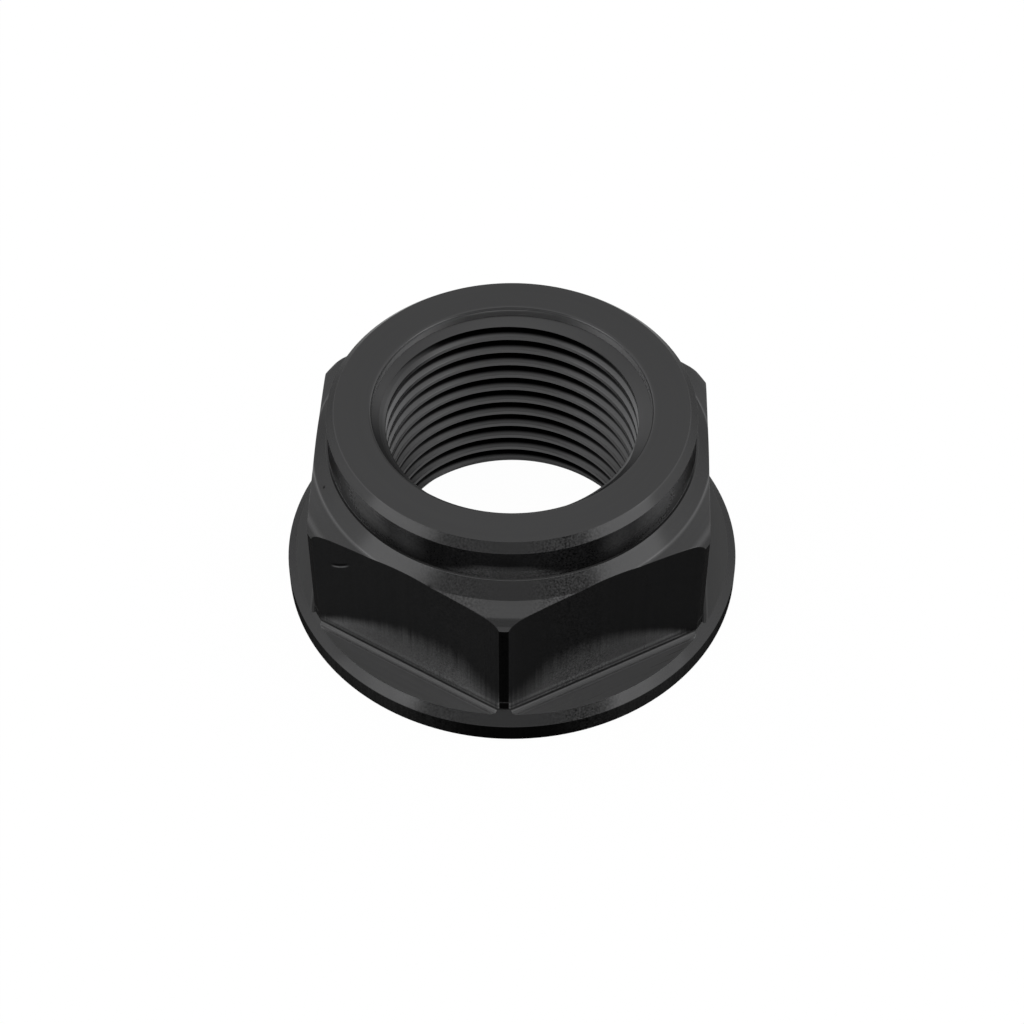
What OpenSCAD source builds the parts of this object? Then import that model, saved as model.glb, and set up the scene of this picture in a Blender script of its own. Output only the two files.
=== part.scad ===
// Flanged hexagon nut with a round collar, turned and milled from one piece of aluminium.
// Origin: centre of the flange's seat face. +Z runs along the thread, towards the collar.
// Hexagon corners lie on -Y and every 60 degrees from it. All lengths are in millimetres.

/* [Thread] */
// Nominal diameter of the metric fine thread
thread_diameter = 22; // [12:1:28]
// Thread pitch
thread_pitch = 1.5; // [1:0.25:2]
// How much wider than the thread the plain mouths are
mouth_clearance = 0.5; // [0.2:0.05:1]
// Depth of the straight mouth below the top face
top_mouth_depth = 0.87; // [0.3:0.01:2]
// Depth of the straight mouth above the seat face
seat_mouth_depth = 1.25; // [0.3:0.05:2]
// Height of each cone that leads from a mouth into the thread
lead_in_height = 0.38; // [0.2:0.02:1]
// Radius that rounds the edge between the top face and its mouth
mouth_edge_radius = 0.25; // [0.1:0.05:0.4]

/* [Collar] */
// Height of the whole nut, from the seat face to the top face
nut_height = 18.9; // [16:0.1:24]
// Outside diameter of the round collar
collar_diameter = 29.8; // [27:0.1:31]
// Chamfer round the collar's top edge
collar_chamfer = 0.64; // [0.2:0.02:1.2]
// Height of the collar's straight and chamfered wall above the ledge at its foot
collar_rise = 3.58; // [2:0.02:6]
// Width of the flat ledge at the collar's foot
ledge_width = 0.22; // [0.1:0.02:0.5]

/* [Shoulder] */
// Slope of the steep cone under the ledge, down from level
steep_angle = 45; // [35:1:60]
// Height of the steep cone
steep_height = 1.1; // [0.6:0.02:1.6]
// Slope of the shallow cone that tops the hexagon, down from level
shallow_angle = 15; // [10:1:25]
// Radius that rounds each hexagon corner into the shallow cone
corner_round = 1; // [0.4:0.1:1.6]

/* [Spanner flats] */
// Distance across the flats, the spanner size
across_flats = 32; // [30:0.5:36]
// Diameter over the turned hexagon corners
across_corners = 36.5; // [36:0.05:37]
// Radius that the milling cutter leaves at the foot of each flat
flat_foot_radius = 0.45; // [0.2:0.05:0.8]
// Depth of the shallow turned neck at the foot of each corner
neck_depth = 0.09; // [0.03:0.01:0.3]
// Height of that neck above the flange bevel
neck_height = 1; // [0.4:0.1:2]

/* [Flange] */
// Outside diameter of the flange
flange_diameter = 38.2; // [37:0.1:44]
// Height of the flange's straight rim
rim_height = 1.7; // [1:0.1:3]
// Slope of the bevel above the rim, up from level
bevel_angle = 45; // [30:1:60]
// How far the bevel has fallen, below the neck, where the milled ledges cut it
mill_depth = 0.25; // [0.1:0.05:0.6]

/* [Hidden] */
// Number of straight steps in a preview circle
$fn = 180;
// Amount by which a cutting tool runs past what it cuts
overshoot = 1;
// Basic minor diameter of an internal metric thread, in pitches below the nominal one
minor_drop = 1.0825;

thread_minor_r = (thread_diameter - minor_drop * thread_pitch) / 2;
mouth_r = (thread_diameter + mouth_clearance) / 2;

collar_r = collar_diameter / 2;
ledge_z = nut_height - collar_rise;
ledge_r = collar_r + ledge_width;

steep_foot_r = ledge_r + steep_height / tan(steep_angle);
steep_foot_z = ledge_z - steep_height;

corner_r = across_corners / 2;
flat_r = across_flats / 2;
neck_r = corner_r - neck_depth;
// Centre of the arc that touches the shallow cone and the corner's turned wall
round_r = corner_r - corner_round;
round_z = steep_foot_z - (round_r - steep_foot_r) * tan(shallow_angle) - corner_round / cos(shallow_angle);
// Point where that arc leaves the shallow cone
shallow_foot_r = round_r + corner_round * sin(shallow_angle);
shallow_foot_z = round_z + corner_round * cos(shallow_angle);

rim_r = flange_diameter / 2;
bevel_top_z = rim_height + (rim_r - neck_r) * tan(bevel_angle);
neck_top_z = bevel_top_z + neck_height;
mill_floor_z = bevel_top_z - mill_depth;

nut_colour = [0.09, 0.09, 0.095];

// Half section of the turned blank, from the axis outwards
module blank_section() {
    polygon([
        [0, 0],
        [rim_r, 0],
        [rim_r, rim_height],
        [neck_r, bevel_top_z],
        [neck_r, neck_top_z],
        [corner_r, neck_top_z + neck_depth],
        [corner_r, round_z],
        [round_r, round_z],
        [shallow_foot_r, shallow_foot_z],
        [steep_foot_r, steep_foot_z],
        [ledge_r, ledge_z],
        [collar_r, ledge_z],
        [collar_r, nut_height - collar_chamfer],
        [collar_r - collar_chamfer, nut_height],
        [0, nut_height]
    ]);
    translate([round_r, round_z])
        circle(r = corner_round);
}

// Section of the end mill's path beside one flat: a straight flank, a rounded foot and a level floor
module cutter_section() {
    cut_width = rim_r - flat_r + overshoot;
    cut_height = nut_height - mill_floor_z;
    translate([flat_r, mill_floor_z + flat_foot_radius])
        square([cut_width, cut_height]);
    translate([flat_r + flat_foot_radius, mill_floor_z])
        square([cut_width, cut_height]);
    translate([flat_r + flat_foot_radius, mill_floor_z + flat_foot_radius])
        circle(r = flat_foot_radius);
}

// The cutter's pass along one flat
module flat_pass() {
    rotate([90, 0, 0])
        linear_extrude(height = 2 * rim_r + 2 * overshoot, center = true)
            cutter_section();
}

// Half section of the bore: straight mouths, lead-in cones and the wall at the thread's minor diameter
module bore_section() {
    mouth_edge_r = mouth_r + mouth_edge_radius;
    mouth_edge_z = nut_height - mouth_edge_radius;
    polygon([
        [0, -overshoot],
        [mouth_r, -overshoot],
        [mouth_r, seat_mouth_depth],
        [thread_minor_r, seat_mouth_depth + lead_in_height],
        [thread_minor_r, nut_height - top_mouth_depth - lead_in_height],
        [mouth_r, nut_height - top_mouth_depth],
        [mouth_r, mouth_edge_z],
        [mouth_edge_r, mouth_edge_z],
        [mouth_edge_r, nut_height + overshoot],
        [0, nut_height + overshoot]
    ]);
}

// Half section of the nut as it leaves the lathe, with the rounded edge of its top mouth
module turned_section() {
    difference() {
        blank_section();
        bore_section();
    }
    translate([mouth_r + mouth_edge_radius, nut_height - mouth_edge_radius])
        circle(r = mouth_edge_radius);
}

module nut() {
    color(nut_colour)
        difference() {
            rotate_extrude()
                turned_section();
            for (side = [0:5])
                rotate([0, 0, 60 * side])
                    flat_pass();
        }
}

nut();
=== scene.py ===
import bpy
import numpy as np
from bpy.props import FloatProperty, FloatVectorProperty, IntProperty, PointerProperty
from mathutils import Matrix, Vector


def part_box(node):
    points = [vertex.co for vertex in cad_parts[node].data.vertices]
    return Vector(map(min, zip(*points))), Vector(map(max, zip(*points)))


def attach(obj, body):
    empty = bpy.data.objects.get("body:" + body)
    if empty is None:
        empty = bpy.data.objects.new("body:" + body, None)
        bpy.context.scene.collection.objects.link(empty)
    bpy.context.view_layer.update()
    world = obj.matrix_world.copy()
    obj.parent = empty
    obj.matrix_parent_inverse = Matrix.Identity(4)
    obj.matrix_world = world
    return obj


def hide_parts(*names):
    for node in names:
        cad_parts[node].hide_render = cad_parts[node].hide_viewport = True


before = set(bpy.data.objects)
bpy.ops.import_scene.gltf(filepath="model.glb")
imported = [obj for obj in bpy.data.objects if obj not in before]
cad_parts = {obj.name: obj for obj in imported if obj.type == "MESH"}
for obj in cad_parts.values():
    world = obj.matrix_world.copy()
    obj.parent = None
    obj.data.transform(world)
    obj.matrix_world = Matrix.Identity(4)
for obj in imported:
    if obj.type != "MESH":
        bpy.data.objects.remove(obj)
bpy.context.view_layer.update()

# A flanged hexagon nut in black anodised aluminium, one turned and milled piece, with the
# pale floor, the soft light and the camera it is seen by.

bl_info = {
    "name": "Flanged hexagon nut",
    "version": (1, 0, 0),
    "blender": (4, 5, 0),
    "location": "3D View > Sidebar > Nut",
    "description": "Builds a flanged hexagon nut with its thread, its finish and a studio",
    "category": "Add Mesh",
}

NUT_LOW, NUT_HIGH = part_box("nut")
SIXTH = np.radians(60.0)
SIDE_STEP = 0.1  # what the UV map "lay" adds for each next side, in metres
VIEW_TURN = 0.035  # tangent of the camera's turn from the front
MINOR_DROP = 1.0825  # thread's basic minor diameter, in pitches below the nominal one


def length(name, description, millimetres):
    """A length property: its default is given in millimetres and kept in metres."""
    return FloatProperty(
        name=name, description=description, default=millimetres * 0.001,
        unit="LENGTH", subtype="DISTANCE", precision=6,
    )


def angle(name, description, degrees):
    """An angle property: its default is given in degrees and kept in radians."""
    return FloatProperty(
        name=name, description=description, default=float(np.radians(degrees)),
        unit="ROTATION", subtype="ANGLE",
    )


def colour(name, description, value):
    """A colour property, in linear red, green and blue."""
    return FloatVectorProperty(
        name=name, description=description, default=value, size=3,
        subtype="COLOR", min=0.0, max=1.0,
    )


def factor(name, description, value, highest=1.0):
    """A plain number between nought and a highest value."""
    return FloatProperty(
        name=name, description=description, default=value,
        subtype="FACTOR", min=0.0, max=highest,
    )


class NutSizes(bpy.types.PropertyGroup):
    """Sizes of the nut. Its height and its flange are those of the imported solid."""
    height: length("Height", "Seat to top face", NUT_HIGH[2] * 1000)
    flange_diameter: length("Flange", "Outside diameter of the flange", NUT_HIGH[0] * 2000)
    rim_height: length("Rim", "Height of the flange's straight rim", 1.7)
    bevel_angle: angle("Bevel", "Slope of the flange's bevel", 45.0)
    across_flats: length("Across flats", "Width over two opposite flats", 32.0)
    across_corners: length("Across corners", "Width over two opposite turned corners", 36.5)
    neck_depth: length("Neck depth", "Depth of the turned neck at the corners' foot", 0.09)
    neck_height: length("Neck height", "Height of that neck", 1.0)
    mill_depth: length("Mill depth", "How far the milling cuts into the bevel's top", 0.25)
    foot_radius: length("Foot radius", "Radius left by the cutter at a flat's foot", 0.45)
    corner_round: length("Corner round", "Radius over the top of each corner", 1.0)
    shallow_angle: angle("Shallow cone", "Slope of the shoulder over the corners", 15.0)
    steep_angle: angle("Steep cone", "Slope of the shoulder next to the collar", 45.0)
    steep_height: length("Steep height", "Height of that steep cone", 1.1)
    ledge_width: length("Ledge", "Width of the ledge at the collar's foot", 0.22)
    collar_diameter: length("Collar", "Diameter of the round collar", 29.8)
    collar_rise: length("Collar rise", "Height of the collar above its ledge", 3.58)
    collar_chamfer: length("Collar chamfer", "Chamfer round the collar's top", 0.64)
    thread_diameter: length("Thread", "Nominal thread diameter", 22.0)
    thread_pitch: length("Pitch", "Distance from one thread to the next", 1.5)
    thread_edge: length("Thread edge", "Height of the first crest's lower edge", 17.71)
    thread_turn: angle("Thread turn", "Where round the nut that height is taken", 92.0)
    mouth_clearance: length("Mouth clearance", "Plain mouth's diameter over the thread's", 0.5)
    top_mouth_depth: length("Top mouth", "Depth of the plain mouth at the top", 0.87)
    seat_mouth_depth: length("Seat mouth", "Depth of the plain mouth at the seat", 1.25)
    lead_in_height: length("Lead-in", "Height of each cone into the thread", 0.38)
    edge_radius: length("Edges", "Radius of the broken edges", 0.06)
    mouth_radius: length("Mouth edge", "Radius of the rounded edges round the mouths", 0.25)
    flat_columns: IntProperty(
        name="Flat columns", description="Mesh columns over half a flat", default=13,
        min=6, max=40,
    )


class NutFinish(bpy.types.PropertyGroup):
    """Colours and gloss of the anodised skin. Some colours are painted light, shade and
    reflection.
    """
    turned: colour("Turned", "Colour of the turned faces", (0.048, 0.048, 0.0485))
    # Painted light: ledges, milled floors and the cutter's feet are painted much paler than the
    # turned faces, making up for the shade of the flats over them.
    ledge: colour("Ledge", "Colour of the milled ledges beside the flats", (0.157, 0.157, 0.158))
    # Painted shade: the milled flats, the collar wall and the rim are the same anodised skin as
    # the turned faces, painted much darker as shade for the dark surroundings that upright faces
    # mirror.
    milled: colour("Milled", "Colour of the milled flats", (0.0113, 0.0113, 0.0115))
    wall: colour("Collar wall", "Colour of the collar's wall", (0.0100, 0.0100, 0.0102))
    # Painted light: the collar wall's painted reflection at its foot and painted light where it
    # turns to the side.
    wall_painted_light: colour("Collar wall's pale", "Colour of its paler parts", (0.12, 0.12, 0.121))
    rim: colour("Rim", "Colour of the rim and of the turned corners", (0.0019, 0.0019, 0.0019))
    # Painted light: the thread's lit crests and flanks; the grooves get the rim's dark colour as
    # painted shade.
    pale: colour("Pale", "Colour of the thread's crests", (0.094, 0.094, 0.095))
    # Painted reflection: the flange mirrored in the foot of each flat, painted into its colour.
    painted_reflection: colour("Sheen", "Colour of the flats' paler foot", (0.15, 0.15, 0.151))
    gloss: factor("Gloss", "Roughness of the turned faces", 0.17)
    satin: factor("Satin", "Roughness of the milled faces and of the rim", 0.28)
    metal: factor("Metal", "Share of the light that the metal under the skin reflects", 0.7)
    mark_pitch: length("Tool marks", "Usual distance between tool marks", 0.14)
    mark_depth: length("Mark depth", "Depth of those marks", 0.0035)


class NutStudio(bpy.types.PropertyGroup):
    """Camera, floor and light."""
    distance: length("Distance", "Camera to its aim on the nut's axis", 190.75)
    aim: length("Aim", "Height of the aim above the floor", 5.98)
    azimuth: angle("Azimuth", "Camera's turn round the nut from the front", 2.0)
    elevation: angle("Elevation", "Camera's height above the horizon", 48.966)
    lens: FloatProperty(name="Lens", description="Focal length", default=79.66, unit="CAMERA")
    floor_radius: length("Floor", "Radius of the round floor", 3000.0)
    floor_gap: length("Floor gap", "What the floor lies under the seat, to keep them apart", 0.02)
    floor_colour: colour("Floor colour", "Colour of the floor", (0.9, 0.9, 0.9))
    floor_white: factor("Floor white", "Share of white in what is seen of the floor", 0.985)
    light: factor("Light", "Brightness of the room", 1.0, 3.0)


def lesser(a, b, blend):
    """The smaller of a and b. Where they cross, the crease is rounded over about blend."""
    return 0.5 * (a + b - np.sqrt((a - b) ** 2 + blend ** 2))


def halving(low, high, inside):
    """For each column, the place between low and high where inside stops holding, found by
    halving the span forty times. inside holds at low."""
    for _ in range(40):
        middle = 0.5 * (low + high)
        held = inside(middle)
        low = np.where(held, middle, low)
        high = np.where(held, high, middle)
    return 0.5 * (low + high)


class Section:
    """The nut's half section in every column, as rows of (zone, radius, height).

    The rows run round the section with the metal on their left: out along the seat, up the
    outside, in over the top and down the bore. Each is an array with one value per column."""

    def __init__(self, sizes):
        self.sizes = sizes
        self.rows = []
        self.derive()
        self.set_columns()
        self.walk_flange()
        self.walk_flat()
        self.walk_shoulder()
        self.walk_collar()
        self.walk_bore()

    def derive(self):
        """Sizes that follow from the named ones."""
        s = self.sizes
        self.rim = s.flange_diameter / 2
        self.flat = s.across_flats / 2
        self.corner = s.across_corners / 2
        self.neck = self.corner - s.neck_depth
        self.bevel_top = s.rim_height + (self.rim - self.neck) * np.tan(s.bevel_angle)
        self.neck_top = self.bevel_top + s.neck_height
        self.floor = self.bevel_top - s.mill_depth
        self.foot = self.floor + s.foot_radius
        self.collar = s.collar_diameter / 2
        self.ledge = self.collar + s.ledge_width
        self.ledge_z = s.height - s.collar_rise
        self.steep_foot = self.ledge + s.steep_height / np.tan(s.steep_angle)
        self.steep_z = self.ledge_z - s.steep_height
        self.round_centre = self.corner - s.corner_round
        self.round_z = (
            self.steep_z
            - (self.round_centre - self.steep_foot) * np.tan(s.shallow_angle)
            - s.corner_round / np.cos(s.shallow_angle)
        )
        self.round_end = self.round_centre + s.corner_round * np.sin(s.shallow_angle)
        self.mouth = (s.thread_diameter + s.mouth_clearance) / 2
        self.crest = (s.thread_diameter - MINOR_DROP * s.thread_pitch) / 2
        self.root = s.thread_diameter / 2
        self.crease = np.arccos(self.flat / self.corner)
        self.floor_end = np.arccos((self.flat + s.foot_radius) / self.bevel(self.floor))
        self.neck_end = np.arccos(self.flat / self.neck)

    def set_columns(self):
        """Angles of the columns. They are wide apart over a flat, and close where the milled
        floor ends, where the neck starts and where the flat meets the turned corner. One half
        flat's columns are mirrored to the next flat, and the sixth is repeated."""
        near = self.floor_end - np.radians(1.0)
        floor_columns, neck_columns, corner_columns = 4, 6, 3
        over_flat = np.linspace(0.0, near, self.sizes.flat_columns)[:-1]
        to_neck = np.concatenate([
            np.linspace(near, self.floor_end, floor_columns)[:-1],
            np.linspace(self.floor_end, self.neck_end, neck_columns),
        ])
        at_crease = self.crease + np.radians([-0.3, -0.12, -0.04, 0.04, 0.12, 0.3])
        over_corner = np.linspace(at_crease[-1], SIXTH / 2, corner_columns)[1:]
        half = np.concatenate([over_flat, to_neck, at_crease, over_corner])
        sixth = np.concatenate([half, SIXTH - half[-2:0:-1]])
        turns = SIXTH * np.arange(6)
        self.angles = np.append((turns[:, None] + sixth).ravel(), 2 * np.pi)
        middle = 0.5 * (self.angles[1:] + self.angles[:-1])
        self.side = np.rint(middle / SIXTH) % 6
        self.corners = np.abs(middle - SIXTH * np.rint(middle / SIXTH)) > self.crease
        self.slant = np.cos(self.angles - SIXTH * np.rint(self.angles / SIXTH))
        self.ones = np.ones_like(self.angles)

    def bevel(self, z):
        """Radius of the flange's bevel cone at height z."""
        return self.rim - (z - self.sizes.rim_height) / np.tan(self.sizes.bevel_angle)

    def cutter(self, z):
        """How far from the axis, along a flat's normal, the milling cutter leaves metal at
        height z: the flat, and below its foot a quarter circle out to the milled floor."""
        radius = self.sizes.foot_radius
        fall = np.clip(self.foot - z, 0.0, radius)
        return self.flat + radius - np.sqrt(radius ** 2 - fall ** 2)

    def shoulder(self, r):
        """Height of the turned shoulder at radius r: steep cone, shallow cone and, past its
        tangent point, the circle over the corners."""
        s = self.sizes
        steep = self.ledge_z - (r - self.ledge) * np.tan(s.steep_angle)
        shallow = self.steep_z - (r - self.steep_foot) * np.tan(s.shallow_angle)
        along = np.clip((r - self.round_centre) / s.corner_round, 0.0, 1.0)
        arc = self.round_z + s.corner_round * np.sqrt(1.0 - along ** 2)
        return np.where(r > self.round_end, arc, np.where(r > self.steep_foot, shallow, steep))

    def shoulder_slope(self, r):
        """Angle of that shoulder below the horizon at radius r."""
        s = self.sizes
        along = np.clip((r - self.round_centre) / s.corner_round, 0.0, 1.0)
        cone = np.where(r > self.steep_foot, s.shallow_angle, s.steep_angle)
        return np.where(r > self.round_end, np.arcsin(along), cone)

    def thread_points(self):
        """One pitch of the thread's profile as (drop, radius), from a crest's lower edge down:
        flank out, root, flank in and crest, with each of the four bends cut by two points."""
        pitch = self.sizes.thread_pitch
        flank, root = 5 / 16 * pitch, 1 / 8 * pitch
        end = 2 * flank + root
        rise = (self.root - self.crest) / flank
        near = 0.022 * pitch
        return np.array([
            (-0.5 * near, self.crest),
            (0.0, self.crest + 0.2 * near * rise),
            (near, self.crest + near * rise),
            (0.5 * flank, self.crest + 0.5 * flank * rise),
            (flank - 1.5 * near, self.root - 1.5 * near * rise),
            (flank, self.root - 0.3 * near * rise),
            (flank + 0.5 * root, self.root),
            (flank + root, self.root - 0.3 * near * rise),
            (flank + root + 1.5 * near, self.root - 1.5 * near * rise),
            (end - near, self.crest + near * rise),
            (end, self.crest + 0.2 * near * rise),
            (end + 0.5 * near, self.crest),
        ])

    def crest_edge(self):
        """Height of a crest's lower edge in each column. It climbs one pitch in a turn."""
        s = self.sizes
        return s.thread_edge + s.thread_pitch * (self.angles - s.thread_turn) / (2 * np.pi)

    def thread_radius(self, z):
        """Radius of the thread's surface at height z in each column."""
        pitch = self.sizes.thread_pitch
        points = self.thread_points()
        start = points[0, 0]
        drop = (self.crest_edge() - z - start) % pitch + start
        drops = np.append(points[:, 0], start + pitch)
        return np.interp(drop, drops, np.append(points[:, 1], points[0, 1]))

    def way(self, zone, r, z):
        """How far a point lies across the tool's path. On a turned zone that is its height
        less its radius, which is the same all round a ring. On a milled one it is the
        distance from the flat's foot: down the flat to nought, round the quarter circle and
        out over the floor."""
        if zone not in ("flat", "foot", "floor"):
            return z - r
        radius = self.sizes.foot_radius
        fall = self.foot - z
        arc = radius * np.arcsin(np.clip(fall / radius, 0.0, 1.0))
        out = np.maximum(r * self.slant - self.flat - radius, 0.0)
        return np.where(fall < 0.0, fall, arc) + out

    def row(self, zone, r, z):
        """Adds one row. zone names the surface between it and the next row."""
        self.rows.append((zone, r * self.ones, z * self.ones))

    def bend(self, zone, before, corner, after, radius, steps=3):
        """Adds a rounded corner: rows on the curve (1-t)^2 A + 2t(1-t) P + t^2 B, where P is
        the corner and A and B lie on its two sides, radius * tan(half the turn) away, or less
        where a side is short."""
        p = np.stack([corner[0] * self.ones, corner[1] * self.ones])
        back = np.stack([before[0] * self.ones, before[1] * self.ones]) - p
        ahead = np.stack([after[0] * self.ones, after[1] * self.ones]) - p
        back_length, ahead_length = np.hypot(*back), np.hypot(*ahead)
        tiny, longest = 1e-12, 0.45
        back = back / np.maximum(back_length, tiny)
        ahead = ahead / np.maximum(ahead_length, tiny)
        half = 0.5 * np.arccos(np.clip((back * ahead).sum(0), -1.0, 1.0))
        shorter = np.minimum(back_length, ahead_length)
        reach = np.minimum(radius / np.tan(half), longest * shorter)
        a, b = p + back * reach, p + ahead * reach
        for t in np.linspace(0.0, 1.0, steps + 1):
            self.row(zone, *((1 - t) ** 2 * a + 2 * t * (1 - t) * p + t ** 2 * b))

    def walk_flange(self):
        """Seat, rim and bevel, to where the bevel meets the milled floor or, near a corner,
        the cutter's rounded foot or the neck."""
        s = self.sizes
        self.middle = (0.5 * (self.rim + self.mouth), 0.0)
        self.row("faced", *self.middle)
        foot, top = (self.rim, 0.0), (self.rim, s.rim_height)
        end_z = halving(
            self.floor * self.ones, self.bevel_top * self.ones,
            lambda z: self.bevel(z) * self.slant <= self.cutter(z),
        )
        on_floor = self.bevel(self.floor) * self.slant > self.flat + s.foot_radius
        end_z = np.where(on_floor, self.floor, end_z)
        self.bevel_end = (self.bevel(end_z), end_z)
        self.bend("rim", self.middle, foot, top, 1.5 * s.edge_radius)
        self.bend("turned", foot, top, self.bevel_end, s.edge_radius)
        self.row("floor", *self.bevel_end)

    def walk_flat(self):
        """Milled floor, the cutter's quarter circle, neck and flat, to the flat's top edge.
        Everywhere the radius is the lesser of the turned one and the flat's, which is its
        distance from the axis over the cosine of the angle from its middle."""
        s = self.sizes
        blend = 0.2 * s.edge_radius
        foot_rows = 8
        start = np.arccos(np.clip((self.foot - self.bevel_end[1]) / s.foot_radius, 0.0, 1.0))
        for t in np.linspace(0.0, 1.0, foot_rows):
            z = self.foot - s.foot_radius * np.cos(start + t * (np.pi / 2 - start))
            turned = np.maximum(self.neck, self.bevel(z))
            zone = "foot" if t < 1 else "flat"
            self.row(zone, np.minimum(turned, self.cutter(z) / self.slant), z)
        straight = self.flat / self.slant
        self.row("flat", lesser(self.neck, straight, blend), self.neck_top)
        r = lesser(self.corner, straight, blend)
        self.row("flat", r, self.neck_top + s.neck_depth)
        z = self.shoulder(r)
        slope = self.shoulder_slope(r)
        reach = 1.5 * s.edge_radius * np.tan((np.pi / 2 - slope) / 2)
        inner = r - reach * np.cos(slope)
        low, high = np.stack([r, z - reach]), np.stack([inner, self.shoulder(inner)])
        self.row("flat", *low)
        self.row("turned", *(0.25 * low + 0.5 * np.stack([r, z]) + 0.25 * high))
        self.row("turned", *high)
        self.flat_edge = inner

    def walk_shoulder(self):
        """Circle over the corners, shallow cone and steep cone. Each row keeps to its radius
        or, over a flat, to the flat's edge where that lies further in."""
        s = self.sizes
        round_rows = 9
        turn = np.linspace(0.0, np.pi / 2 - s.shallow_angle, round_rows)
        radii = list(self.round_centre + s.corner_round * np.cos(turn))
        radii += [self.steep_foot + 0.5 * s.edge_radius, self.steep_foot - 0.5 * s.edge_radius]
        for radius in radii:
            r = np.minimum(radius, self.flat_edge)
            self.row("turned", r, self.shoulder(r))

    def walk_collar(self):
        """Ledge, collar wall, chamfer and top face."""
        s = self.sizes
        cone = (self.steep_foot, self.steep_z)
        ledge = (self.ledge, self.ledge_z)
        foot = (self.collar, self.ledge_z)
        top = (self.collar, s.height - s.collar_chamfer)
        face = (self.collar - s.collar_chamfer, s.height)
        edge, end = (self.mouth, s.height), (self.mouth, s.height - s.top_mouth_depth)
        self.bend("ledge", cone, ledge, foot, 0.5 * s.edge_radius, steps=2)
        self.bend("wall", ledge, foot, top, 0.7 * s.edge_radius, steps=2)
        self.bend("turned", foot, top, face, s.edge_radius)
        self.bend("faced", top, face, edge, s.edge_radius)
        self.bend("mouth", face, edge, end, s.mouth_radius, steps=6)

    def walk_bore(self):
        """Top mouth, lead-in cone, thread, seat lead-in and seat mouth. The thread's rows fall
        with the profile and climb one pitch in a turn, and each lead-in cone stops them where
        its radius passes theirs."""
        s = self.sizes
        top = s.height - s.top_mouth_depth
        seat = s.seat_mouth_depth
        slope = (self.mouth - self.crest) / s.lead_in_height
        upper = halving(
            (top - s.lead_in_height) * self.ones, top * self.ones,
            lambda z: self.mouth - (top - z) * slope <= self.thread_radius(z),
        )
        lower = halving(
            (seat + s.lead_in_height) * self.ones, seat * self.ones,
            lambda z: self.mouth - (z - seat) * slope <= self.thread_radius(z),
        )
        upper_r = self.mouth - (top - upper) * slope
        lower_r = self.mouth - (lower - seat) * slope
        self.bend("bore", (self.mouth, s.height), (self.mouth, top), (upper_r, upper),
                  0.5 * s.edge_radius, steps=2)
        turns = int(np.ceil(s.height / s.thread_pitch)) + 1
        for turn in range(turns):
            for drop, radius in self.thread_points():
                z = self.crest_edge() + s.thread_pitch * (1 - turn) - drop
                r = np.where(z >= upper, upper_r, np.where(z <= lower, lower_r, radius))
                self.row("thread", r, np.clip(z, lower, upper))
        self.bend("bore", (lower_r, lower), (self.mouth, seat), (self.mouth, 0.0),
                  0.5 * s.edge_radius, steps=2)
        self.bend("faced", (self.mouth, seat), (self.mouth, 0.0), self.middle,
                  s.mouth_radius, steps=5)
        self.row("faced", *self.middle)


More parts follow.
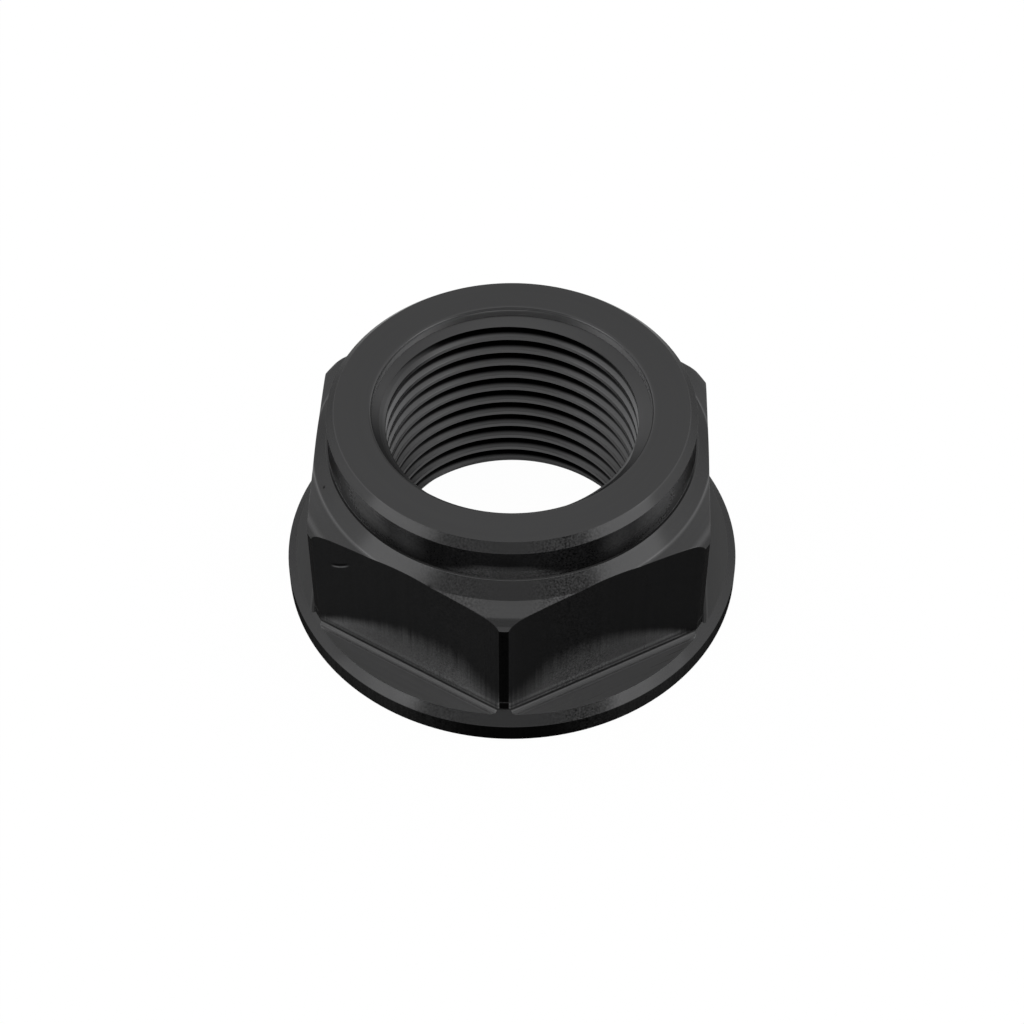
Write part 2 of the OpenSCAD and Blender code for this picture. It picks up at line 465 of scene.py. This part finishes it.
def skin(name, angles, rows, section=None):
    """A mesh through rows of (zone, radius, height): each row's point in a column is
    (radius * cos(angle), radius * sin(angle), height). Equal points are merged and faces
    without area dropped, so the seam and the poles are closed. With a section, the UV map
    "lay" holds its way across the tool's path and the distance from the middle of the column's
    own side, in metres, and the wall of the turned corners is finished as the rim. Gives the
    object and the names of the zones, in the order of its material slots."""
    radius = np.stack([r for _, r, _ in rows])
    height = np.stack([z for _, _, z in rows])
    columns = len(angles)
    points = np.stack([radius * np.cos(angles), radius * np.sin(angles), height], -1)
    row, column = np.meshgrid(np.arange(len(rows) - 1), np.arange(columns - 1), indexing="ij")
    row, column = row.ravel(), column.ravel()
    corner_row = np.stack([row, row, row + 1, row + 1], -1)
    corner_column = np.stack([column, column + 1, column + 1, column], -1)
    lay = np.zeros((len(row), 4, 2))
    if section:
        ways = np.stack([
            section.way(zone, radius[index:index + 2], height[index:index + 2])
            for index, (zone, _, _) in enumerate(rows[:-1])
        ])
        side = section.side[column][:, None]
        turned = angles[corner_column] - SIXTH * side
        lay[..., 0] = ways[row[:, None], [0, 0, 1, 1], corner_column]
        lay[..., 1] = radius[corner_row, corner_column] * np.sin(turned) + SIDE_STEP * side
    zones = sorted({zone for zone, _, _ in rows})
    material = np.array([zones.index(zone) for zone, _, _ in rows])[row]
    if section:
        on_corner = (material == zones.index("flat")) & section.corners[column]
        material[on_corner] = zones.index("rim")

    points = points.reshape(-1, 3)
    # Points in one cell are one point. The shift keeps round numbers off a cell's border.
    cell, shift = 1e-7, 0.21
    grid = np.rint(points / cell + shift).astype(np.int64)
    _, first, merged = np.unique(grid, axis=0, return_index=True, return_inverse=True)
    quads = merged.ravel()[corner_row * columns + corner_column]
    split = np.array([[0, 1, 2], [0, 2, 3]])
    triangles = quads[:, split].reshape(-1, 3)
    lay = lay[:, split].reshape(-1, 3, 2)
    material = np.repeat(material, 2)
    a, b, c = points[first][triangles].transpose(1, 0, 2)
    cross = np.cross(b - a, c - a)
    whole = (np.diff(np.sort(triangles, axis=1), axis=1) > 0).all(axis=1)
    whole &= np.linalg.norm(cross, axis=1) > 0.0
    triangles, lay, material = triangles[whole], lay[whole], material[whole]

    mesh = bpy.data.meshes.new(name)
    mesh.vertices.add(len(first))
    mesh.vertices.foreach_set("co", points[first].ravel())
    mesh.loops.add(triangles.size)
    mesh.loops.foreach_set("vertex_index", triangles.ravel())
    mesh.polygons.add(len(triangles))
    mesh.polygons.foreach_set("loop_start", np.arange(0, triangles.size, 3))
    mesh.polygons.foreach_set("material_index", material.astype(np.int32))
    mesh.polygons.foreach_set("use_smooth", np.ones(len(triangles), bool))
    mesh.update(calc_edges=True)
    mesh.uv_layers.new(name="lay").data.foreach_set("uv", lay.ravel())
    if mesh.validate():
        raise RuntimeError(f"{name} has faulty faces")
    piece = bpy.data.objects.new(name, mesh)
    bpy.context.scene.collection.objects.link(piece)
    return piece, zones


def even_normals(piece, sharpest):
    """Keeps flat faces flat: normals weighted by face area, and split over edges that turn
    by more than the given angle. The modifier takes the areas of small faces for nought, so
    it works on the mesh at a thousand times its size."""
    growth = 1000.0
    piece.data.set_sharp_from_angle(angle=sharpest)
    piece.data.transform(Matrix.Scale(growth, 4))
    weighted = piece.modifiers.new("even_normals", "WEIGHTED_NORMAL")
    weighted.mode = "FACE_AREA"
    weighted.weight = 100
    weighted.keep_sharp = True
    for other in bpy.context.selected_objects:
        other.select_set(False)
    bpy.context.view_layer.objects.active = piece
    piece.select_set(True)
    bpy.ops.object.modifier_apply(modifier=weighted.name)
    piece.data.transform(Matrix.Scale(1.0 / growth, 4))


class Value:
    """A shader socket. An expression on it adds the Math nodes that work it out."""

    def __init__(self, shader, socket):
        self.shader = shader
        self.socket = socket

    def math(self, operation, *values):
        settings = {"operation": operation}
        return self.shader.node("ShaderNodeMath", settings, dict(enumerate(values)))

    def __add__(self, other):
        return self.math("ADD", self, other)

    def __radd__(self, other):
        return self.math("ADD", other, self)

    def __sub__(self, other):
        return self.math("SUBTRACT", self, other)

    def __rsub__(self, other):
        return self.math("SUBTRACT", other, self)

    def __mul__(self, other):
        return self.math("MULTIPLY", self, other)

    def __truediv__(self, other):
        return self.math("DIVIDE", self, other)

    def __pow__(self, other):
        return self.math("POWER", self, other)

    def absolute(self):
        return self.math("ABSOLUTE", self)

    def at_least(self, other):
        return self.math("MAXIMUM", self, other)

    def at_most(self, other):
        return self.math("MINIMUM", self, other)

    def step(self, start, end):
        """Rises smoothly from 0 at start to 1 at end."""
        settings = {"interpolation_type": "SMOOTHSTEP"}
        return self.shader.node("ShaderNodeMapRange", settings, {0: self, 1: start, 2: end})

    def line(self, centre, half):
        """Is 1 at the centre and falls smoothly to 0 at half on either side of it."""
        return 1.0 - (self - centre).absolute().step(0.0, half)

    def lines(self, *marks):
        """Sum of such lines, each given as (centre, half, strength)."""
        return sum(self.line(centre, half) * strength for centre, half, strength in marks)

    def between(self, low, high):
        """Is low where this is 0 and high where this is 1."""
        return self * (high - low) + low


class Shader:
    """The node tree of a material or of the world."""

    def __init__(self, owner):
        owner.use_nodes = True
        self.tree = owner.node_tree
        self.tree.nodes.clear()

    def node(self, kind, settings=None, sockets=None, output=0):
        """Adds a node, sets its settings, then fills or links its sockets, and gives the
        value of one output."""
        node = self.tree.nodes.new(kind)
        for key, setting in (settings or {}).items():
            setattr(node, key, setting)
        for key, value in (sockets or {}).items():
            if isinstance(value, Value):
                self.tree.links.new(value.socket, node.inputs[key])
            else:
                node.inputs[key].default_value = value
        return Value(self, node.outputs[output]) if len(node.outputs) else None

    def mix(self, amount, low, high):
        """Colour mix from low to high."""
        return self.node("ShaderNodeMix", {"data_type": "RGBA"}, {0: amount, 6: low, 7: high}, 2)

    def scale(self, rgb, amount):
        """A colour times a number."""
        return self.node("ShaderNodeVectorMath", {"operation": "SCALE"}, {0: rgb, 3: amount})

    def noise(self, place, along, scale, detail):
        """Noise over a place and a fourth number, for marks that run along a tool's path."""
        return self.node(
            "ShaderNodeTexNoise", {"noise_dimensions": "4D"},
            {"Vector": place, "W": along / scale, "Scale": scale, "Detail": detail},
        )

    def split(self, vector, part):
        """One part of a vector: 0 for x, 1 for y, 2 for z."""
        return self.node("ShaderNodeSeparateXYZ", None, {0: vector}, part)

    def dot(self, a, b):
        """Dot product of two vectors."""
        return self.node("ShaderNodeVectorMath", {"operation": "DOT_PRODUCT"}, {0: a, 1: b}, 1)


def opaque(rgb):
    """A colour with full alpha."""
    return (rgb[0], rgb[1], rgb[2], 1.0)


class Skin:
    """A black anodised skin with the marks of the tool in it, and its paint, most of which is
    painted light, shade and reflection.

    Noise that changes fast with the way across the tool's path and slowly along it gives the
    marks, in a fine and a coarse size. They tilt the surface a little and vary its shade and
    its gloss. marks is their strength, grain that of a fine speckle, metal the share of
    metallic reflection, and edge the strength of reflections at a low angle. The paint is told
    where a point is by its coordinates and by the UV map "lay". Its places are in metres."""

    def __init__(self, section, finish, zone, base, roughness, marks, grain, metal, edge=0.5):
        self.section = section
        self.finish = finish
        self.material = bpy.data.materials.new(f"anodised_{zone}")
        self.shader = shader = Shader(self.material)
        self.place = shader.node("ShaderNodeTexCoord", output=3)
        self.x, self.y, self.z = (shader.split(self.place, part) for part in range(3))
        self.right = self.x.step(-0.002, 0.002)
        self.aside = (self.x + self.y * VIEW_TURN).absolute()
        lay = shader.node("ShaderNodeUVMap", {"uv_map": "lay"})
        self.way, self.across = shader.split(lay, 0), shader.split(lay, 1)
        way = self.across if zone in ("flat", "rim") else self.way
        fine_way, broad_way = way / finish.mark_pitch, way / (4.0 * finish.mark_pitch)
        self.fine = shader.noise(self.place, fine_way, scale=60.0, detail=2.0) - 0.5
        broad = shader.noise(self.place, broad_way, scale=45.0, detail=2.0) - 0.5
        self.lines = self.fine + broad * 0.5
        self.overall_grain = 0.4 if zone in ("wall", "rim", "flat") else 0.04
        paint = getattr(self, f"paint_{zone}", None)
        tint = paint(base) if paint else tuple(base)
        shade = self.lines * marks + self.speckle() * grain + 1.0
        darkest, gloss_change = 0.1, 0.1
        tint = shader.scale(tint, shade.at_least(darkest))
        deepest = 0.6  # strength of the marks past which they get no deeper
        bump = shader.node(
            "ShaderNodeBump", None,
            {"Strength": 1.0, "Distance": finish.mark_depth * min(marks, deepest),
             "Height": self.lines},
        )
        coat = shader.node(
            "ShaderNodeBsdfPrincipled", None,
            {"Base Color": tint, "Roughness": (self.lines * gloss_change + 1.0) * roughness,
             "Normal": bump, "Metallic": metal, "Specular Tint": (edge, edge, edge, 1.0),
             "Specular IOR Level": 0.0, "IOR": 1.5},
        )
        shader.node("ShaderNodeOutputMaterial", None, {"Surface": coat})

    def beside(self, start, end):
        """Rises from 0 to 1 between two distances to the left or the right of the middle, as
        the camera sees them."""
        return self.aside.step(start, end)

    def speckle(self):
        """Fine grain, strongest on either side of the front, and most so on its right."""
        middle, half, lean = 0.0058, 0.0040, 0.1
        grain = self.shader.noise(self.place, along=7.0, scale=6500.0, detail=1.0) - 0.5
        turning = (self.aside + self.z * lean).line(middle, half)
        front = (self.y * -1.0).step(0.004, 0.010) * turning
        return grain * (front * self.right.between(0.5, 1.0) + self.overall_grain)

    def spot(self, centre, radius):
        """Is 1 at a point and falls smoothly to 0 at the radius."""
        apart = self.shader.node(
            "ShaderNodeVectorMath", {"operation": "DISTANCE"}, {0: self.place, 1: centre}, 1)
        return 1.0 - apart.step(0.0, radius)

    def along_side(self):
        """Way along the side's own flat from its middle. It is mirrored from side to side."""
        side = self.across + SIDE_STEP / 2
        return side.math("PINGPONG", side, SIDE_STEP) - SIDE_STEP / 2

    def paint_flat(self, base):
        """Black, with a paler foot under an arch, which is a painted reflection of the flange. The
        arch's height falls with the square of the distance from its crown, which leans to one
        corner of the side. There its edge is soft, and streaks fray it. Its lower part, which
        mirrors the flange, is paler still, and at the very foot it has a painted light band and
        then painted shade. The right half of the nut's flats is painted darker, as shade."""
        crown, height, corner_drop = 0.0018, 0.00665, 0.0014
        crisp, crisp_end, widening, fraying = 0.0007, -0.004, 0.12, 1.1
        mirror_rise = 0.25
        side = self.along_side()
        soft = (side - crisp_end).at_least(0.0) * widening + crisp
        from_crown = side - crown
        arch = height - from_crown * from_crown * self.right.between(36.0, 42.0)
        arch = arch - side.step(0.0046, 0.0086) * corner_drop
        fray = self.fine * soft * fraying
        # pale: mask of the painted reflection under the arch
        pale = 1.0 - ((self.z - arch - fray) / soft).step(-1.0, 1.0)
        # mirror: the lower, paler part of that painted reflection
        mirror = 1.0 - (self.z - arch * mirror_rise).step(0.0014, 0.0047)
        to_right = self.x.step(-0.006, 0.003)
        # painted light band and painted shade at the very foot of the flat
        foot = 1.0 - self.way.step(-0.0005, 0.0) * 0.36 + self.way.lines(
            (-0.00070, 0.00030, to_right.between(0.17, 0.62)),
            (-0.00038, 0.00010, -0.3),
            (-0.00016, 0.00013, to_right.between(0.15, 0.95)),
        )
        painted_reflection = self.shader.scale(tuple(self.finish.painted_reflection), foot * mirror.between(0.45, 0.95))
        tint = self.shader.mix(pale, opaque(base), painted_reflection)
        # painted shade: the flats on the right half are darker
        shade = self.right.between(1.0, 0.75)
        return self.shader.scale(tint, shade * (self.scratch() + 1.0))

    def scratch(self):
        """The short curved scratch on the left front flat, a light line under a dark one."""
        left_front, from_middle, height = 4, 0.0071, 0.0108
        slope, curvature = 0.2, 200.0
        start = self.across - left_front * SIDE_STEP + from_middle
        apart = self.z - height - start * slope - start * start * curvature
        length = start.step(0.0, 0.0005) * (1.0 - start.step(0.0014, 0.0020))
        return apart.lines((0.0, 0.00015, 6.0), (0.00027, 0.00018, -0.8)) * length

    def floor_painted_shade(self):
        """Painted shade: the floors at the sides are darker than those at the front and at the
        back.
        """
        return self.y.absolute().step(0.008, 0.0105).between(0.33, 1.0)

    def paint_foot(self, base):
        """The cutter's quarter circle, darkened as painted shade, with fine light and dark lines
        along the flat that are painted light and shade across the curve."""
        # painted shade on the quarter circle, and painted light and dark bands along it
        shade = self.way.step(0.00055, 0.00070).between(0.42, 1.0) + self.way.lines(
            (0.00008, 0.00010, -0.28), (0.00024, 0.00008, 0.25),
            (0.00036, 0.00006, -0.12), (0.00060, 0.00005, -0.15),
        )
        return self.shader.scale(tuple(base), shade * self.floor_painted_shade())

    def paint_floor(self, base):
        """The milled floor, with a painted highlight line next to the quarter circle."""
        shade = self.way.lines((0.00075, 0.00008, 0.3)) + 1.0
        return self.shader.scale(tuple(base), shade * self.floor_painted_shade())

    def paint_rim(self, base):
        """Nearly black. The rim is paler to the sides, and so are the necks at the corners' feet
        there: painted light. Each neck has a thin painted highlight along its top edge."""
        neck = self.section.neck_top
        low = 1.0 - self.z.step(neck - 0.00014, neck + 0.00006)
        # painted highlight along each neck's top edge, and painted light above it to the sides
        edge = self.z.lines((neck + 0.00018, 0.0001, 13.0))
        edge = edge + self.beside(0.010, 0.014) * (1.0 - low) * 4.0
        # painted light on the rim and the necks to the sides
        pale = self.beside(0.002, 0.0115) * self.beside(0.0155, 0.0185).between(5.2, 3.0) * low
        return self.shader.scale(tuple(base), pale + edge + 1.0)

    def paint_ledge(self, base):
        """Painted light and shade: pale at the front, and as dark as the faces beside it at the
        sides.
        """
        return self.shader.scale(tuple(base), self.beside(0.004, 0.010).between(1.0, 0.33))

    def paint_turned(self, base):
        """Even, with painted highlight lines to the sides: where the steep cone meets the shallow
        one, over the corners and round the collar's top. The flange's bevel has a painted pale
        place and then a place of painted shade on either side. A dark speck and a nick lie on the
        left."""
        # painted highlights along the edges, seen to the sides
        lines = self.way.lines(
            (-0.0020, 0.00027, 0.75), (-0.0041, 0.00050, 0.4), (0.0046, 0.00020, 0.4))
        speck, speck_radius = (-0.01484, -0.00543, 0.01464), 0.00022
        nick, nick_radius = (-0.00588, -0.01509, 0.01424), 0.00035
        marks = self.spot(speck, speck_radius) * -0.8 - self.spot(nick, nick_radius) * 0.64
        bevel_top = self.section.bevel_top
        # painted light and painted shade on the flange's bevel
        bevel = self.aside.lines((0.0082, 0.0018, 0.22), (0.0128, 0.0026, -0.22))
        bevel = bevel * (1.0 - self.z.step(bevel_top + 0.00036, bevel_top + 0.00076))
        shade = lines * self.beside(0.008, 0.012) + bevel + marks + 1.0
        return self.shader.scale(tuple(base), shade)

    def paint_wall(self, base):
        """Dark, with a paler foot that rises towards the corners of the hexagon, and pale where it
        turns to the side. The pale foot is a painted reflection, and the pale sides are painted
        light."""
        ledge = self.section.ledge_z
        unevenness, corner_rise = 0.0006, 0.0012
        corner = self.along_side().absolute().step(0.0020, 0.0065)
        height = self.z - ledge - self.lines * unevenness - corner * corner_rise
        # painted reflection at the wall's foot, rising towards the corners
        foot = (1.0 - height.step(-0.00052, 0.00038)) * corner.between(0.28, 0.68)
        # painted light where the wall turns to the side
        turning = self.aside.lines((0.0119, 0.0028, 0.75)) + self.beside(0.0060, 0.0085) * 0.25
        turning = turning * self.z.step(ledge + 0.00018, ledge + 0.00148).between(0.5, 1.0)
        turning = turning * self.beside(0.0135, 0.0148).between(1.0, 0.3)
        amount = foot.at_least(turning).at_most(1.0)
        return self.shader.mix(amount, opaque(base), opaque(self.finish.wall_painted_light))

    def paint_mouth(self, base):
        """The wall of the mouth is dark in front and pale at the back, most so on either side of
        it: painted shade and painted light. Its rounded edge is even, and on the left a thin dark
        line of painted shade parts the two."""
        top = self.section.sizes.height
        wall_top = top - self.section.sizes.mouth_radius
        low = 1.0 - self.z.step(wall_top - 0.00003, top - 0.00004)
        # painted light at the back of the mouth
        pale = self.aside.lines((0.0080, 0.0045, 5.0)) + 3.3
        pale = self.y.step(-0.003, 0.003) * low * pale + 1.1
        # painted shade in front of the mouth
        left_front = (1.0 - self.y.step(-0.004, 0.001)) * (1.0 - self.x.step(-0.004, 0.0))
        front = left_front * 0.3 + (1.0 - self.y.step(-0.0055, -0.0035)) * low * 0.65
        # seam: a thin line of painted shade where the rounded edge meets the mouth's wall
        seam = self.z.lines((wall_top, 0.00006, 0.75)) * self.y.step(-0.001, 0.001)
        seam = seam * (1.0 - self.x.step(-0.0095, -0.0060))
        return self.shader.scale(tuple(base), (pale - front) * (1.0 - seam))

    def paint_bore(self, base):
        """The cones that lead into the thread are darkened in front with painted shade, more so on
        the left.
        """
        lit = (self.y + self.x * 0.2).step(-0.0060, 0.0005)
        return self.shader.scale(tuple(base), lit.between(0.3, 1.0))

    def paint_thread(self, base):
        """Painted light and shade: pale, as light on the crests and flanks, less so on the left of
        the first turn, with a dark line of painted shade in each groove. It starts nearer to the
        axis to the sides, where the camera sees less of the groove, and at the back it has a soft
        edge and is darkest."""
        top, crest = self.section.sizes.height, self.section.crest
        at_back, at_sides, thinning = crest + 0.00037, crest + 0.00024, 0.00029
        full_view = 0.009
        back = self.y.step(0.005, 0.0102)
        turned = (1.0 - self.y / full_view).at_least(0.0)
        start = (at_back - turned * turned * thinning).at_least(at_sides)
        round_axis = (self.x * self.x + self.y * self.y) ** 0.5
        # depth: mask of the painted shade in each groove
        depth = (round_axis - start).step(back.between(-0.00003, -0.00025), 0.00004)
        first = self.z.step(top - 0.0026, top - 0.0021) * (1.0 - self.x.step(-0.009, -0.006))
        depth = depth * back.between(0.8, 1.0) * first.between(1.0, 0.25)
        shade = 1.0 - first * self.y.step(-0.003, 0.002).between(0.7, 0.4)
        pale = self.shader.scale(tuple(self.finish.pale), shade)
        return self.shader.mix(depth, pale, opaque(base))


class NUT_OT_body(bpy.types.Operator):
    """Build the nut itself, with its thread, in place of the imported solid"""
    bl_idname = "nut.build_body"
    bl_label = "Nut"

    def execute(self, context):
        finish = context.scene.nut_finish
        section = Section(context.scene.nut_sizes)
        piece, zones = skin("flanged_hexagon_nut", section.angles, section.rows, section)
        even_normals(piece, sharpest=np.radians(32.0))
        metal = finish.metal
        # Colour, roughness, strength of the marks and of the grain, metal and, for one, edge
        looks = {
            "faced": (finish.turned, finish.gloss, 0.1, 0.1, metal),
            "turned": (finish.turned, finish.gloss, 0.15, 3.2, metal),
            "ledge": (finish.ledge, finish.gloss, 0.1, 0.1, metal),
            "mouth": (finish.turned, finish.gloss, 0.1, 0.1, metal),
            "bore": (finish.turned, finish.gloss, 0.1, 0.1, metal),
            "thread": (finish.rim, finish.satin, 0.1, 0.1, metal),
            "wall": (finish.wall, finish.satin, 0.2, 2.5, metal, 0.2),
            "rim": (finish.rim, finish.satin, 1.0, 3.5, 0.0),
            "floor": (finish.ledge, finish.satin, 0.15, 0.2, metal),
            "foot": (finish.ledge, finish.satin, 0.1, 0.1, metal),
            "flat": (finish.milled, finish.satin, 0.25, 2.0, metal),
        }
        for zone in zones:
            piece.data.materials.append(Skin(section, finish, zone, *looks[zone]).material)
        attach(piece, "root")
        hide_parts("nut")
        return {"FINISHED"}


class NUT_OT_studio(bpy.types.Operator):
    """Set the pale floor, the soft light and the camera"""
    bl_idname = "nut.set_studio"
    bl_label = "Studio"

    def execute(self, context):
        studio = context.scene.nut_studio
        self.make_floor(studio)
        self.make_light(context.scene, studio)
        self.make_camera(context.scene, studio)
        return {"FINISHED"}

    def make_floor(self, studio):
        """A round floor. It shows white, and keeps part of the nut's soft shadow."""
        columns, rings = 96, (1.0, 0.3, 0.08, 0.02, 0.0)
        angles = np.linspace(0.0, 2 * np.pi, columns + 1)
        ones = np.ones_like(angles)
        radii = [studio.floor_radius * share for share in rings]
        low = -studio.floor_gap * ones
        floor, _ = skin("pale_floor", angles, [("floor", r * ones, low) for r in radii])
        material = bpy.data.materials.new("pale_floor")
        shader = Shader(material)
        paper = shader.node("ShaderNodeBsdfDiffuse", None, {"Color": opaque(studio.floor_colour)})
        white = shader.node("ShaderNodeEmission", None, {"Strength": 1.0})
        rays = shader.node("ShaderNodeLightPath").socket.node.outputs
        seen = Value(shader, rays["Is Camera Ray"]) + Value(shader, rays["Is Glossy Ray"])
        seen = (seen + Value(shader, rays["Is Transmission Ray"])).at_most(1.0)
        share = seen * studio.floor_white
        both = shader.node("ShaderNodeMixShader", None, {0: share, 1: paper, 2: white})
        shader.node("ShaderNodeOutputMaterial", None, {"Surface": both})
        floor.data.materials.append(material)

    def make_light(self, scene, studio):
        """A pale room that lights the nut from all round: white near the horizon, dimmer high
        up behind the camera, brighter overhead, and with a soft box on either side. Each part
        is a power or a step of the dot product with its middle direction."""
        world = bpy.data.worlds.new("pale_room")
        scene.world = world
        shader = Shader(world)
        way = shader.node(
            "ShaderNodeVectorMath", {"operation": "NORMALIZE"},
            {0: shader.node("ShaderNodeTexCoord")},
        )

        def glow(turn, rise, narrow):
            """A glow round a direction, given in degrees from the camera's and over level."""
            side = studio.azimuth - np.pi / 2 + np.radians(turn)
            up = np.radians(rise)
            middle = (np.cos(side) * np.cos(up), np.sin(side) * np.cos(up), np.sin(up))
            return shader.dot(way, middle).at_least(0.0) ** narrow

        def box(turn, rise, half):
            """A soft box: a disc of sky, of the given half angle in degrees, with a soft edge."""
            inner, outer = np.cos(np.radians(half - 2)), np.cos(np.radians(half + 2))
            return glow(turn, rise, 1.0).step(outer, inner)

        level = 1.0 - box(0.0, 44.0, 40.0) * 0.5 + glow(180.0, 79.0, 12.0) * 0.6
        for side in (1, -1):
            level = level + box(side * 64.5, 31.0, 17.8) * 1.4
            level = level + glow(side * 90.0, 22.0, 8.0) * 0.35
            level = level + glow(side * 135.0, 28.0, 24.0) * 1.2
        room = shader.node(
            "ShaderNodeBackground", None, {"Color": (1, 1, 1, 1), "Strength": level * studio.light}
        )
        shader.node("ShaderNodeOutputWorld", None, {"Surface": room})

    def make_camera(self, scene, studio):
        """The camera, at the photograph's angle and distance, aimed at the nut's axis."""
        flat = np.cos(studio.elevation) * studio.distance
        aim = Vector((0.0, 0.0, studio.aim))
        place = aim + Vector((
            np.sin(studio.azimuth) * flat,
            -np.cos(studio.azimuth) * flat,
            np.sin(studio.elevation) * studio.distance,
        ))
        data = bpy.data.cameras.new("camera")
        data.lens = studio.lens
        data.clip_start = 0.01
        data.clip_end = 20.0
        camera = bpy.data.objects.new("camera", data)
        camera.location = place
        camera.rotation_euler = (aim - place).to_track_quat("-Z", "Y").to_euler()
        scene.collection.objects.link(camera)
        scene.camera = camera
        scene.view_settings.view_transform = "Standard"


class NUT_PT_panel(bpy.types.Panel):
    """Lists the pieces and their sizes in the sidebar"""
    bl_idname = "NUT_PT_panel"
    bl_label = "Flanged hexagon nut"
    bl_space_type = "VIEW_3D"
    bl_region_type = "UI"
    bl_category = "Nut"

    def draw(self, context):
        scene = context.scene
        for operator, groups in ((NUT_OT_body, (scene.nut_sizes, scene.nut_finish)),
                                 (NUT_OT_studio, (scene.nut_studio,))):
            box = self.layout.box()
            for group in groups:
                for key in group.bl_rna.properties.keys():
                    if key not in ("rna_type", "name"):
                        box.prop(group, key)
            box.operator(operator.bl_idname)


CLASSES = (NutSizes, NutFinish, NutStudio, NUT_OT_body, NUT_OT_studio, NUT_PT_panel)


def register():
    for each in CLASSES:
        bpy.utils.register_class(each)
    bpy.types.Scene.nut_sizes = PointerProperty(type=NutSizes)
    bpy.types.Scene.nut_finish = PointerProperty(type=NutFinish)
    bpy.types.Scene.nut_studio = PointerProperty(type=NutStudio)


def unregister():
    del bpy.types.Scene.nut_studio
    del bpy.types.Scene.nut_finish
    del bpy.types.Scene.nut_sizes
    for each in reversed(CLASSES):
        bpy.utils.unregister_class(each)


def main():
    """Registers the classes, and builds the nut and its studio."""
    register()
    bpy.ops.nut.build_body()
    bpy.ops.nut.set_studio()


if __name__ == "__main__":
    main()
